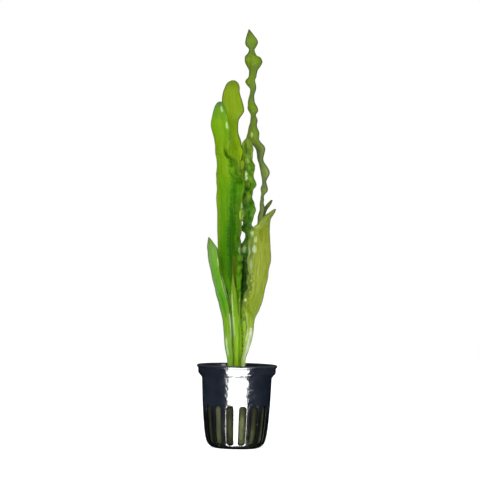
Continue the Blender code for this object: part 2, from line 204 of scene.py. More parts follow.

# Shape and look of each leaf, lengths in mm:
# stations: its table above; slot: a material slot's name, which is not used; columns: how many it has
# across
# blade_foot: height where the stalk has half turned into blade; midrib: its rise over the blade
# cup: how far the margins curl to the back, for each mm of half width
# fold: how far the lengthwise fold stands to the front, and its place as u, -1 to 1 across
# veins: how many run lengthwise; crumple: size of its dents and strength of its mottling
# edge: how dark the painted shade just inside the margin is; crest: how pale the ruffles' crests are
# painted and how strong their painted glints are, as painted highlight
# ruffles: (left -1 or right 1, height, wave length, phase, from, to)
# tones: (height, red, green, blue) up the leaf, partly painted light where the leaf lies in shade and
# painted shade where it is darkened; vein and margin: its darker and its paler colour
# marks: patches as (u, height, half width in u, half height, colour, strength), most of them painted
# highlights, painted shade or painted light over shade, some the leaf's own tone
LEAVES = {
    "leaf_tall_ribbon": dict(
        stations=LEAF_TALL_RIBBON, slot="leaf_olive", columns=26, blade_foot=120,
        midrib=0.3, cup=0.36, fold=(0.0, 0.0), veins=5, crumple=0.06, edge=0.8, crest=0.3,
        ruffles=[(-1, 0.5, 9.0, 0.3, 100, 280), (1, 0.5, 7.7, 2.0, 100, 280)],
        tones=[(44, 140, 172, 60), (100, 114, 130, 72), (150, 110, 124, 78), (160, 122, 140, 72),
               (166, 108, 120, 86), (172, 132, 152, 72), (181, 108, 122, 86), (194, 116, 140, 30),
               (205, 106, 128, 54), (212, 120, 150, 30), (219, 102, 124, 64), (229, 116, 144, 34),
               (235, 102, 122, 50), (241, 108, 138, 12), (247, 104, 126, 46), (253, 112, 140, 16),
               (258, 84, 98, 40)],
        vein=(84, 108, 30), margin=(112, 128, 76),
        # A painted highlight on one bulge of the ribbon.
        marks=[(0.1, 194.6, 0.22, 2.0, PAINTED_HIGHLIGHT, 0.6)]),
    "leaf_round_tip": dict(
        stations=LEAF_ROUND_TIP, slot="leaf_olive", columns=44, blade_foot=110,
        midrib=0.2, cup=-0.16, fold=(0.3, 0.0), veins=9, crumple=0.06, edge=0.8, crest=0.3,
        ruffles=[(-1, 0.8, 17.0, 0.4, 80, 240), (1, 1.0, 13.0, 1.4, 80, 240)],
        # The light tones from 150 to 190 mm are partly painted light over the shade the strap casts.
        tones=[(44, 140, 175, 50), (100, 108, 150, 20), (150, 172, 212, 8), (178, 190, 226, 20),
               (190, 160, 204, 14), (202, 126, 160, 10), (212, 126, 150, 12), (222, 122, 146, 12),
               (227, 98, 114, 26)],
        vein=(100, 132, 8), margin=(122, 146, 40),
        marks=[]),
    "leaf_strap": dict(
        stations=LEAF_STRAP, slot="leaf_bright", columns=48, blade_foot=84,
        midrib=0.3, cup=0.18, fold=(-0.9, 0.24), veins=11, crumple=0.06, edge=0.45, crest=0.1,
        ruffles=[(-1, 0.4, 15.0, 0.0, 80, 240), (1, 0.7, 13.0, 1.1, 120, 240),
                 (1, 1.3, 8.3, 0.4, 84, 136), (1, 0.5, 5.1, 2.4, 90, 132)],
        # The bright stalk tones up to 84 mm are partly painted light over the shade between the stalks.
        tones=[(44, 164, 216, 30), (66, 172, 226, 34), (84, 150, 210, 24), (96, 104, 166, 14),
               (112, 62, 120, 2), (140, 72, 124, 4), (158, 90, 136, 8), (172, 114, 150, 16),
               (186, 124, 156, 18), (200, 116, 154, 14), (209, 100, 140, 34), (213, 88, 114, 60)],
        vein=(58, 122, 2), margin=(122, 156, 30),
        # Painted light and shade: the darkest patches are painted shade in the lengthwise fold, over the
        # darker right half, in the slit beside the small left leaf and in the chain of shadow under the
        # curled right margin; the palest are painted highlights and glints; the bright ones at 56, 74 and
        # 84 mm are painted light over the stalk's shade. The olive patch along the left margin and the
        # brownish one at 108 mm are the leaf's own tone.
        marks=[(-0.88, 150, 0.22, 44, (112, 140, 18), 0.75), (0.8, 138, 0.28, 30, (64, 88, 4), 0.85),
               (0.5, 162, 0.6, 10, (62, 118, 2), 0.6), (0.32, 147, 0.3, 23, (36, 86, 0), 0.85),
               (0.22, 122, 0.44, 30, PAINTED_SHADE, 0.95), (0.6, 84, 0.5, 9, (200, 242, 84), 0.85),
               (0.36, 108, 0.22, 14, (84, 86, 8), 0.8), (-0.8, 99, 0.14, 6.5, (176, 218, 130), 0.9),
               (-0.6, 95, 0.12, 5, PAINTED_SHADE, 0.9), (-0.86, 88, 0.15, 5, PAINTED_SHADE, 0.9),
               (-0.52, 91, 0.11, 5, PAINTED_HIGHLIGHT, 0.7), (-0.66, 80, 0.16, 5, (176, 206, 140), 0.9),
               (-0.8, 74, 0.4, 9, (232, 248, 214), 1.0), (-0.85, 56, 0.45, 19, (216, 250, 96), 1.0),
               (0.85, 58, 0.25, 18, (180, 220, 60), 0.85), (0.92, 122, 0.12, 2.2, PAINTED_HIGHLIGHT, 0.7),
               (0.8, 118, 0.16, 2.6, (110, 160, 40), 0.7), (0.75, 111, 0.14, 2.6, (110, 164, 40), 0.6),
               (0.48, 181.6, 0.4, 3.8, PAINTED_SHADE, 0.85), (0.66, 176, 0.5, 3.6, PAINTED_SHADE, 0.8),
               (0.82, 170.4, 0.26, 3.4, PAINTED_SHADE, 0.8), (0.7, 165.6, 0.4, 2.8, PAINTED_SHADE, 0.9),
               (0.3, 209.4, 0.22, 2.0, PAINTED_HIGHLIGHT, 0.7), (0.72, 199.4, 0.13, 2.4, PAINTED_HIGHLIGHT, 0.7),
               (0.95, 144.3, 0.13, 3.6, (192, 218, 80), 0.9), (0.96, 150, 0.08, 2.2, PAINTED_HIGHLIGHT, 0.8),
               (0.86, 192.6, 0.16, 3.6, (62, 112, 0), 0.8)]),
    "leaf_ruffled": dict(
        stations=LEAF_RUFFLED, slot="leaf_dark", columns=44, blade_foot=96,
        midrib=0.3, cup=0.1, fold=(0.5, 0.0), veins=7, crumple=0.55, edge=0.3, crest=0.7,
        ruffles=[(-1, 1.7, 9.7, 0.6, 80, 126), (-1, 1.7, 9.7, 0.6, 146, 210),
                 (1, 1.6, 10.7, 2.2, 80, 210), (1, 0.5, 6.1, 0.2, 80, 210)],
        # Its stalk tones up to 86 mm are partly painted light over the shade between the stalks, and the
        # dark band from 94 to 113 mm is painted shade.
        tones=[(44, 170, 220, 46), (76, 194, 242, 60), (86, 176, 224, 56), (94, 44, 98, 8),
               (104, 26, 78, 10), (113, 50, 100, 14), (122, 92, 142, 34), (140, 78, 128, 28),
               (152, 70, 122, 20), (162, 84, 130, 12), (176, 100, 134, 26), (184, 120, 142, 40),
               (190, 124, 146, 40)],
        vein=(32, 78, 6), margin=(112, 146, 60),
        # Painted light and shade: the palest patches are painted highlights and glints, the bright ones
        # at 70 and 144 mm painted light over shade, and the darkest ones painted shade; the olive patches
        # are the leaf's own tone.
        marks=[(-0.72, 144.4, 0.42, 3.6, (226, 250, 116), 0.9),
               (-0.15, 168.6, 0.24, 2.9, (224, 246, 180), 0.95), (-0.8, 149.5, 0.2, 2.2, PAINTED_HIGHLIGHT, 0.8),
               (0.05, 160.5, 0.5, 1.8, PAINTED_SHADE, 0.7), (-0.2, 157, 0.3, 1.4, PAINTED_SHADE, 0.5),
               (-0.3, 151, 0.2, 3.0, PAINTED_SHADE, 0.4), (-0.4, 123, 0.34, 2.6, (232, 252, 200), 0.9),
               (-0.5, 117.6, 0.26, 3.0, (196, 236, 150), 0.85),
               (-0.78, 176, 0.34, 9.5, (150, 178, 20), 0.9), (-0.37, 175, 0.08, 8, (56, 80, 8), 0.7),
               (0.2, 156, 0.5, 3.4, (130, 160, 36), 0.6), (-0.1, 162.6, 0.4, 1.4, (130, 160, 40), 0.6),
               (0.5, 167, 0.3, 3.0, (130, 160, 40), 0.5), (-0.4, 173, 0.3, 1.6, (60, 86, 10), 0.6),
               (0.6, 83.5, 0.3, 1.6, PAINTED_HIGHLIGHT, 0.7), (0.1, 78, 0.25, 1.6, PAINTED_HIGHLIGHT, 0.6),
               (0.75, 70, 0.3, 6.0, (196, 232, 110), 0.8), (0.3, 138, 0.4, 2.4, (120, 176, 90), 0.6),
               (0.0, 178, 0.3, 1.8, (150, 186, 100), 0.5)]),
    "leaf_broad_right": dict(
        stations=LEAF_BROAD_RIGHT, slot="leaf_yellow", columns=48, blade_foot=80,
        midrib=0.08, cup=0.2, fold=(0.2, 0.1), veins=13, crumple=0.05, edge=0.6, crest=0.5,
        ruffles=[(-1, 1.6, 9.1, 0.0, 84, 142), (1, 0.5, 11.6, 0.4, 80, 160),
                 (-1, 0.7, 5.3, 1.9, 84, 142)],
        # The whitish tone at 60 mm is partly a painted highlight on the stalk.
        tones=[(44, 160, 196, 76), (60, 178, 206, 110), (74, 150, 184, 62), (86, 128, 152, 30),
               (100, 142, 156, 56), (124, 142, 154, 52), (138, 124, 140, 40), (147, 106, 118, 52)],
        vein=(98, 112, 12), margin=(164, 182, 116),
        # The whitish patches along the left margin and on the stalk are painted highlights, and the dark
        # ones at the left margin painted shade; the thin brownish ones are the leaf's own streaks.
        marks=[(-0.84, 122, 0.3, 15, (84, 108, 48), 0.75), (-0.5, 122, 0.2, 16, (118, 134, 56), 0.5),
               (-0.74, 133, 0.13, 1.7, PAINTED_HIGHLIGHT, 0.75), (-0.47, 129.2, 0.14, 2.2, PAINTED_HIGHLIGHT, 0.6),
               (-0.7, 123, 0.13, 5.0, (84, 100, 62), 0.6),
               (-0.5, 123.4, 0.17, 2.6, (172, 190, 150), 0.85),
               (-0.94, 122.6, 0.1, 3.0, (150, 172, 140), 0.85),
               (-0.74, 113.6, 0.14, 3.8, (146, 166, 122), 0.8),
               (-0.5, 137.2, 0.3, 1.3, (160, 180, 90), 0.5), (0.0, 132, 0.22, 4.5, (108, 114, 0), 0.75),
               (-0.22, 125, 0.1, 3.4, (118, 128, 20), 0.6), (0.1, 64, 0.5, 13, (228, 234, 212), 0.9),
               (-0.3, 108, 0.05, 9, (98, 112, 10), 0.6), (-0.16, 97, 0.05, 9, (98, 112, 10), 0.6),
               (-0.8, 99, 0.36, 11, (72, 96, 10), 0.8), (-0.66, 104, 0.1, 1.0, (150, 176, 80), 0.8),
               (-0.62, 97, 0.1, 1.0, (150, 176, 80), 0.8), (-0.8, 92, 0.12, 1.2, PAINTED_HIGHLIGHT, 0.8),
               (-0.75, 80, 0.2, 5, (214, 234, 130), 0.8), (-0.8, 70, 0.22, 6, (220, 236, 140), 0.8),
               (-0.55, 82, 0.4, 7, (112, 150, 22), 0.5), (-0.86, 89.6, 0.2, 1.8, (86, 106, 10), 0.55),
               (-0.6, 87.6, 0.2, 1.9, (86, 106, 10), 0.55), (-0.35, 85.4, 0.2, 1.9, (88, 108, 10), 0.55),
               (-0.08, 83.4, 0.22, 1.9, (88, 108, 12), 0.55),
               (0.25, 81.4, 0.26, 1.8, (90, 110, 14), 0.5)]),
    "leaf_small_left": dict(
        stations=LEAF_SMALL_LEFT, slot="leaf_bright", columns=34, blade_foot=70,
        midrib=0.25, cup=0.18, fold=(0.1, 0.0), veins=9, crumple=0.06, edge=0.7, crest=0.3,
        ruffles=[(-1, 0.3, 13.0, 0.0, 70, 140), (1, 0.3, 11.0, 1.0, 70, 140)],
        tones=[(44, 140, 184, 56), (60, 140, 178, 66), (76, 126, 160, 40), (92, 86, 146, 26),
               (108, 92, 158, 34), (122, 116, 158, 66), (129, 110, 140, 70)],
        vein=(70, 136, 12), margin=(128, 156, 76),
        # The pale patches at the right margin and on the stalk are painted highlights, the one at 76 mm
        # painted light over the shade beside the strap.
        marks=[(-0.6, 110, 0.5, 22, (122, 150, 84), 0.75), (0.86, 99.5, 0.15, 6.5, (196, 226, 150), 0.85),
               (0.84, 115, 0.14, 3.4, (186, 210, 130), 0.8), (0.8, 104, 0.2, 8, (126, 158, 20), 0.6),
               (-0.3, 62.5, 0.32, 7, (206, 232, 170), 0.85), (0.1, 88, 0.22, 9, (50, 112, 6), 0.6),
               (0.86, 76, 0.26, 8.5, (182, 206, 146), 0.85), (-0.6, 84, 0.3, 9, (120, 156, 70), 0.6)]),
    "leaf_young": dict(
        stations=LEAF_YOUNG, slot="leaf_yellow", columns=20, blade_foot=70,
        midrib=0.2, cup=0.2, fold=(0.0, 0.0), veins=5, crumple=0.0, edge=0.1, crest=0.2,
        ruffles=[(-1, 0.15, 11.0, 0.0, 70, 120)],
        tones=[(44, 132, 174, 24), (62, 130, 176, 26), (76, 122, 168, 24), (90, 112, 156, 24),
               (100, 114, 142, 30)],
        vein=(92, 136, 10), margin=(150, 182, 84),
        # The pale patches down its left side are painted highlights.
        marks=[(-0.75, 88, 0.28, 9, (200, 226, 150), 0.75), (-0.7, 76, 0.5, 8, (180, 206, 140), 0.65),
               (0.3, 62, 0.3, 9, (170, 206, 70), 0.6)]),
    "leaf_narrow_right": dict(
        stations=LEAF_NARROW_RIGHT, slot="leaf_olive", columns=24, blade_foot=70,
        midrib=0.25, cup=-0.16, fold=(0.2, 0.0), veins=7, crumple=0.06, edge=0.8, crest=0.3,
        ruffles=[(-1, 0.3, 12.0, 0.0, 80, 170), (1, 0.3, 10.0, 1.0, 80, 170)],
        tones=[(44, 136, 170, 50), (90, 124, 156, 48), (130, 118, 140, 56), (153, 98, 110, 48)],
        vein=(90, 112, 30), margin=(132, 150, 76),
        marks=[]),
}


def rgb(red, green, blue):
    """A colour given as the screen shows it, from 0 to 255, as the linear numbers shaders take."""
    def linear(value):
        value /= 255
        return value / 12.92 if value <= 0.04045 else ((value + 0.055) / 1.055) ** 2.4
    return (linear(red), linear(green), linear(blue), 1.0)


def link(item):
    bpy.context.scene.collection.objects.link(item)
    return item


def mesh_object(name, points, faces, uvs=None):
    """A mesh from points in mm and lists of corners, with a UV for each point if given."""
    mesh = bpy.data.meshes.new(name)
    mesh.from_pydata((np.asarray(points) * MM).tolist(), [], faces)
    mesh.update()
    if uvs is not None:
        layer = mesh.uv_layers.new(name="leaf")
        corners = np.empty(len(mesh.loops), dtype=np.int32)
        mesh.loops.foreach_get("vertex_index", corners)
        layer.uv.foreach_set("vector", np.asarray(uvs, dtype=np.float32)[corners].ravel())
    mesh.shade_smooth()
    return link(bpy.data.objects.new(name, mesh))


def stand_for(piece, nodes):
    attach(piece, "root")
    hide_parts(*nodes)


class Graph:
    """Short calls for building the nodes of a material or of the world."""

    def __init__(self, owner):
        owner.use_nodes = True
        self.owner = owner
        self.tree = owner.node_tree
        self.tree.nodes.clear()

    def add(self, kind, settings=None, **inputs):
        """A node of a kind, such as "Math" for a ShaderNodeMath."""
        item = self.tree.nodes.new("ShaderNode" + kind)
        for name, value in (settings or {}).items():
            setattr(item, name, value)
        for name, value in inputs.items():
            self.put(item, name.replace("_", " "), value)
        return item

    def put(self, item, socket, value):
        """Links or sets one input, which is given by its name or its number."""
        if isinstance(value, bpy.types.NodeSocket):
            self.tree.links.new(value, item.inputs[socket])
        else:
            item.inputs[socket].default_value = value

    def math(self, operation, *values):
        item = self.add("Math", dict(operation=operation))
        for index, value in enumerate(values):
            self.put(item, index, value)
        return item.outputs[0]

    def weighted(self, *pairs):
        """The sum of values, each times its weight."""
        total, *others = [self.math("MULTIPLY", value, weight) for value, weight in pairs]
        for part in others:
            total = self.math("ADD", total, part)
        return total

    def about_zero(self, value, size):
        """A value from 0 to 1 moved to lie about zero, over the given size."""
        return self.math("MULTIPLY", self.math("SUBTRACT", value, 0.5), size)

    def stripes(self, value, count):
        """How far the value is from the middle of its stripe, from 0 to half a stripe."""
        share = self.math("FRACT", self.math("MULTIPLY", value, count))
        return self.math("ABSOLUTE", self.math("SUBTRACT", share, 0.5))

    def between(self, value, low, high, out_low=0.0, out_high=1.0):
        """Eases from out_low to out_high while the value goes from low to high."""
        item = self.add("MapRange", dict(interpolation_type="SMOOTHSTEP"))
        for index, number in enumerate((value, low, high, out_low, out_high)):
            self.put(item, index, number)
        return item.outputs[0]

    def mix(self, share, first, second, blend="MIX"):
        """Mixes two colours, each a socket or three screen values."""
        item = self.add("Mix", dict(data_type="RGBA", blend_type=blend))
        self.put(item, 0, share)
        self.put(item, 6, rgb(*first) if isinstance(first, tuple) else first)
        self.put(item, 7, rgb(*second) if isinstance(second, tuple) else second)
        return item.outputs[2]

    def tint(self, base, value, low, high, strength, colour):
        """Mixes a colour into the base, up to the strength, as the value goes from low to high."""
        return self.mix(self.between(value, low, high, 0.0, strength), base, colour)

    def mix_shaders(self, share, first, second):
        item = self.add("MixShader")
        for index, value in enumerate((share, first, second)):
            self.put(item, index, value)
        return item.outputs[0]

    def ramp(self, value, stops):
        item = self.add("ValToRGB")
        elements = item.color_ramp.elements
        while len(elements) < len(stops):
            elements.new(0.5)
        for element, (place, *colour) in zip(elements, stops):
            element.position = place
            element.color = rgb(*colour)
        self.put(item, 0, value)
        return item.outputs[0]

    def noise(self, vector, scale, detail=4.0, roughness=0.55):
        item = self.add("TexNoise", Vector=vector, Scale=scale, Detail=detail,
                        Roughness=roughness)
        return item.outputs[0]

    def attribute(self, name):
        return self.add("Attribute", dict(attribute_name=name)).outputs["Fac"]

    def bump(self, height, distance, strength):
        item = self.add("Bump", Strength=strength, Distance=distance, Height=height)
        return item.outputs[0]

    def surface(self, shader, output="OutputMaterial"):
        self.put(self.add(output), "Surface", shader)
        return self.owner


def leaf_span(look):
    """Height of the leaf's foot, and the length from there to its tip."""
    foot, tip = look["stations"][0][0], look["stations"][-1][0]
    return foot, tip - foot


def leaf_patches_and_painted_light(g, body, look, across, along, place):
    """Patches over the leaf's body colour, each with a frayed outline: most are painted highlights,
    painted shade or painted light over shade, some the leaf's own tone.
    """
    foot, length = leaf_span(look)
    fraying = g.math("ADD", g.about_zero(g.noise(place, 210.0), 0.8),
                     g.about_zero(g.noise(place, 800.0), 1.5))
    for u, height, half_u, half_height, colour, strength in look["marks"]:
        off_u = g.math("DIVIDE", g.math("SUBTRACT", across, (u + 1) / 2), half_u / 2)
        off_h = g.math("DIVIDE", g.math("SUBTRACT", along, (height - foot) / length),
                       half_height / length)
        away = g.math("SQRT", g.math("ADD", g.math("POWER", g.math("ABSOLUTE", off_u), 2.0),
                                     g.math("POWER", g.math("ABSOLUTE", off_h), 2.6)))
        body = g.tint(body, g.math("ADD", away, fraying), 1.15, 0.5, strength, colour)
    return body


def leaf_veins(g, look, across, along, place):
    """Shares of the lengthwise veins, of the finer ones between them and of the cross veins."""
    stretched = g.add("CombineXYZ", X=across, Y=g.math("MULTIPLY", along, 9.0)).outputs[0]
    waver = g.about_zero(g.noise(stretched, 1.6, detail=2.0), 0.05)
    wavering = g.math("ADD", across, waver)
    vein = g.between(g.stripes(wavering, float(look["veins"])), 0.12, 0.02)
    fine = g.between(g.stripes(wavering, 4.0 * look["veins"]), 0.3, 0.02)
    slanting = g.math("ADD", along, g.math("MULTIPLY", across, 0.06))
    cross = g.between(g.stripes(slanting, leaf_span(look)[1] / CROSS_VEIN_STEP), 0.09, 0.02)
    cross = g.math("MULTIPLY", cross, g.between(g.noise(place, 420.0), 0.42, 0.6))
    return vein, fine, cross


def leaf_margins(g, body, look, across, along, place):
    """Pale margins; ruffle crests painted pale with painted glints and troughs painted dark, as painted
    highlight and shade; and a painted shade just inside the margin.
    """
    from_middle = g.math("ABSOLUTE", g.math("SUBTRACT", across, 0.5))
    rim = g.between(from_middle, 0.43, 0.5)
    body = g.mix(g.math("MULTIPLY", rim, 0.6), body, look["margin"])
    crest = g.attribute("crest")
    # Painted highlight on the ruffles' crests, painted shade in their troughs, and painted glints on the
    # highest crests.
    body = g.tint(body, crest, 0.2, 1.0, look["crest"], look["margin"])
    body = g.tint(body, crest, -0.2, -1.0, 0.7, look["vein"])
    broken = g.between(g.noise(place, 480.0, detail=2.0), 0.42, 0.58)
    glint = g.math("MULTIPLY", g.between(crest, 0.75, 1.05, 0.0, look["crest"]), broken)
    body = g.mix(glint, body, PAINTED_HIGHLIGHT)
    foot, length = leaf_span(look)
    blade_from = (look["blade_foot"] - 12 - foot) / length
    # Painted shade just inside the margin, on the blade only.
    edge_shade = g.math("MULTIPLY", g.between(g.attribute("inside"), 0.75, 0.35, 0.0, look["edge"]),
                  g.between(along, blade_from, blade_from + 0.06))
    return g.mix(edge_shade, body, PAINTED_EDGE_SHADE)


def leaf_material(name, look):
    """A thin wet leaf that lets some light through, with its tones, patches, veins and margins, many of
    them painted highlight and shade.
    """
    g = Graph(bpy.data.materials.new(name))
    uv = g.add("UVMap", dict(uv_map="leaf")).outputs[0]
    across, along = g.add("SeparateXYZ", Vector=uv).outputs[:2]
    place = g.add("TexCoord").outputs["Object"]
    foot, length = leaf_span(look)

    tones = [((height - foot) / length, *colour) for height, *colour in look["tones"]]
    body = g.ramp(along, tones)
    body = g.tint(body, g.noise(place, 130.0, detail=5.0), 0.35, 0.75, 0.3, look["vein"])
    body = g.tint(body, g.noise(place, 34.0, detail=2.0), 0.45, 0.72, 0.2, look["margin"])
    body = leaf_patches_and_painted_light(g, body, look, across, along, place)
    vein, fine, cross = leaf_veins(g, look, across, along, place)
    for lines, strength in ((vein, 0.45), (fine, 0.2), (cross, 0.2)):
        body = g.mix(g.math("MULTIPLY", lines, strength), body, look["vein"])
    crinkle = g.noise(place, 300.0, detail=2.0)
    body = g.tint(body, crinkle, 0.5, 0.36, look["crumple"], look["vein"])
    body = g.tint(body, crinkle, 0.52, 0.66, look["crumple"], look["margin"])
    drawn_out = g.add("CombineXYZ", X=across, Y=g.math("MULTIPLY", along, 0.6)).outputs[0]
    streak = g.noise(drawn_out, look["veins"] * 1.3, detail=2.0)
    body = g.tint(body, streak, 0.5, 0.28, 0.5, look["vein"])
    body = g.tint(body, streak, 0.55, 0.75, 0.35, look["margin"])
    body = leaf_margins(g, body, look, across, along, place)

    pores = g.noise(place, 600.0, detail=3.0)
    relief = g.weighted((vein, 0.6), (cross, 0.35), (fine, 0.25), (pores, 0.9))
    normal = g.bump(relief, 0.14 * MM, 0.8)
    rough = g.between(g.noise(place, 260.0), 0.3, 0.7, 0.18, 0.36)
    skin = g.add("BsdfPrincipled", Base_Color=body, Roughness=rough, Normal=normal, IOR=1.42,
                 Specular_IOR_Level=0.09)
    glow = g.mix(1.0, body, (232, 255, 120), blend="MULTIPLY")
    through = g.add("BsdfTranslucent", Color=glow, Normal=normal)
    return g.surface(g.mix_shaders(0.28, skin.outputs[0], through.outputs[0]))


def pot_material(name, gloss):
    """Black plastic, dusty at the top, dull and greenish lower down, with a matt lip."""
    g = Graph(bpy.data.materials.new(name))
    place = g.add("TexCoord").outputs["Object"]
    height = g.add("SeparateXYZ", Vector=place).outputs[2]
    dusty, dull, matt = ([limit * MM for limit in limits] for limits in (DUSTY, DULL, MATT))

    colour = g.mix(g.between(g.noise(place, 90.0), 0.35, 0.7), (18, 23, 32), (27, 32, 41))
    dust = g.math("MULTIPLY", g.between(g.noise(place, 300.0, detail=8.0), 0.55, 0.8),
                  g.between(height, *dusty))
    colour = g.mix(g.math("MULTIPLY", dust, 0.25), colour, (70, 74, 76))
    colour = g.tint(colour, height, *dull, 0.8, (12, 13, 7))
    grain = g.noise(place, 450.0, detail=1.0)
    waves = g.noise(place, 60.0, detail=2.0)
    normal = g.bump(g.weighted((grain, 1.5), (waves, 1.0)), 0.4 * MM, 0.3)
    rough = g.between(g.noise(place, 150.0, detail=6.0), 0.3, 0.75, 0.1, 0.24)
    rough = g.math("MAXIMUM", rough, g.between(height, *matt, 0.0, 0.55))
    skin = g.add("BsdfPrincipled", Base_Color=colour, Roughness=rough, Normal=normal, IOR=1.5,
                 Specular_IOR_Level=gloss)
    return g.surface(skin.outputs[0])


def wool_material():
    """Olive wool with a squeezed grain, one lighter upright band at the front and a darker right side."""
    g = Graph(bpy.data.materials.new("stone_wool"))
    place = g.add("TexCoord").outputs["Object"]
    across, depth, height = g.add("SeparateXYZ", Vector=place).outputs[:]
    squeezed = g.add("Mapping", Vector=place, Scale=(1.0, 1.0, 0.35)).outputs[0]
    large = g.noise(squeezed, 150.0, detail=4.0)
    small = g.noise(place, 1300.0, detail=5.0, roughness=0.7)
    patches = g.noise(place, 45.0, detail=2.0)
    colour = g.ramp(g.weighted((large, 0.5), (small, 0.25), (patches, 0.25)),
                    [(0.38, 22, 21, 4), (0.46, 42, 43, 12), (0.54, 64, 69, 28), (0.64, 102, 110, 68)])
    # A lighter upright band at the front, to the left of the middle.
    from_band = g.math("ABSOLUTE", g.math("ADD", across, 11.4 * MM))
    lighter_front_band = g.math("MULTIPLY", g.between(from_band, 3 * MM, 1 * MM),
                 g.between(depth, 0.0, -10 * MM, 0.0, 0.18))
    colour = g.mix(lighter_front_band, colour, (140, 148, 112))
    # Darker towards the right, more so above 14 mm.
    darker_right_side = g.math("MULTIPLY", g.between(across, 1 * MM, 7 * MM, 0.0, 0.4),
                  g.between(height, 6 * MM, 14 * MM, 0.3, 1.0))
    colour = g.mix(darker_right_side, colour, (20, 21, 6))
    normal = g.bump(small, 0.4 * MM, 0.8)
    skin = g.add("BsdfPrincipled", Base_Color=colour, Roughness=0.8, Normal=normal)
    return g.surface(skin.outputs[0])


def floor_material():
    g = Graph(bpy.data.materials.new("floor"))
    skin = g.add("BsdfPrincipled", Base_Color=(0.9, 0.9, 0.9, 1.0), Roughness=0.9,
                 Emission_Color=WHITE, Emission_Strength=0.45)
    return g.surface(skin.outputs[0])


def smooth_through(knots, values, at):
    """Cubic curve through the values, level at each high and low point so it never overshoots."""
    knots, values, at = (np.asarray(row, dtype=float) for row in (knots, values, at))
    slopes = np.diff(values) / np.diff(knots)
    tangents = np.concatenate([slopes[:1], np.zeros(len(slopes) - 1), slopes[-1:]])
    same_way = slopes[:-1] * slopes[1:] > 0
    before, after = slopes[:-1][same_way], slopes[1:][same_way]
    tangents[1:-1][same_way] = 2 * before * after / (before + after)
    index = np.clip(np.searchsorted(knots, at) - 1, 0, len(slopes) - 1)
    width = knots[index + 1] - knots[index]
    t = (at - knots[index]) / width
    start = (1 + 2 * t) * (1 - t) ** 2 * values[index] + t * (1 - t) ** 2 * width * tangents[index]
    end = t * t * (3 - 2 * t) * values[index + 1] + t * t * (t - 1) * width * tangents[index + 1]
    return start + end


def eased(value, low, high):
    t = np.clip((value - low) / (high - low), 0.0, 1.0)
    return t * t * (3 - 2 * t)


def leaf_rows(stations):
    """Heights of the rows: about half a millimetre apart, closer at the tip."""
    foot, tip = stations[0][0], stations[-1][0]
    even = np.arange(foot, tip - TIP_LENGTH, ROW_STEP)
    fine = tip - TIP_LENGTH + TIP_LENGTH * np.sin(np.linspace(0.0, math.pi / 2, 18))
    return np.concatenate([even, fine])


def uneven_waves(turns, phase):
    """How far the waves drift, in radians, and how large they are, so that no two are alike."""
    drift = 1.5 * np.sin(0.8 * turns + 2.0 * phase) + 0.9 * np.sin(1.7 * turns + 5.0 * phase)
    swell = 0.7 + 0.2 * np.sin(0.43 * turns + phase) + 0.2 * np.sin(1.31 * turns + 3.0 * phase)
    return drift, swell


def dents(u, h):
    """Shallow dents all over a blade, from -1 to 1."""
    lengthwise = np.sin(h / 1.15 + 2.3 * u + 1.7 * np.sin(h / 3.1))
    return lengthwise * np.sin(3.7 * u + 0.9 * np.sin(h / 2.3) + 0.8)


def leaf_sheet(leaf, heights):
    """The leaf's middle surface as a (row, column, xyz) array in mm, with u from -1 to 1, the
    share of blade in each row, how far each point is out on a ruffle's crest, and how far it is
    from the margin."""
    table = np.array(leaf["stations"], dtype=float)
    centre_x, centre_y, half_width, turn = (
        smooth_through(table[:, 0], table[:, k], heights)[:, None] for k in range(1, 5))
    u = np.sin(np.linspace(-math.pi / 2, math.pi / 2, leaf["columns"] + 1) * 0.86)
    u = (u / u[-1])[None, :]
    h = heights[:, None]
    foot, tip = leaf["blade_foot"], table[-1, 0]
    blade = eased(h, foot - STALK_TO_BLADE / 2, foot + STALK_TO_BLADE / 2)
    fade = blade * eased(tip - h, *TIP_FADE)
    lift = leaf["cup"] * half_width * (u * u - 1 / 3)
    spread = np.zeros_like(lift)
    crest = np.zeros_like(lift)
    tallest = max(ruffle[1] for ruffle in leaf["ruffles"])
    for side, height, wave_length, phase, low, high in leaf["ruffles"]:
        window = eased(h, low, low + RUFFLE_FADE) * eased(high - h, 0.0, RUFFLE_FADE)
        reach = fade * window * np.clip(u * side, 0.0, 1.0) ** 2.2 * height
        turns = h / wave_length
        drift, swell = uneven_waves(turns, phase)
        at = math.tau * turns + phase + drift - RUFFLE_SLANT * u * side
        lift = lift + reach * swell * np.sin(at)
        spread = spread + side * RUFFLE_SPREAD * reach * swell * np.cos(at)
        crest = crest - reach * swell * np.sin(at) / tallest
    fold_height, fold_place = leaf["fold"]
    lift = lift - fade * fold_height * np.exp(-((u - fold_place) / FOLD_WIDTH) ** 2)
    lift = lift + fade * leaf["crumple"] * dents(u, h)
    angle = np.radians(turn)
    side = half_width * u + spread
    lean = LEAN_PER_MM * (h - CROWN_HEIGHT)
    x = centre_x + side * np.cos(angle) - lift * np.sin(angle) - lean
    y = centre_y + side * np.sin(angle) + lift * np.cos(angle)
    z = np.broadcast_to(h, x.shape)
    return np.stack([x, y, z], axis=-1), u, blade, crest, half_width * (1 - np.abs(u))


def surface_normals(sheet):
    along = np.gradient(sheet, axis=0)
    across = np.gradient(sheet, axis=1)
    normals = np.cross(across, along)
    return normals / np.maximum(np.linalg.norm(normals, axis=-1, keepdims=True), 1e-9)


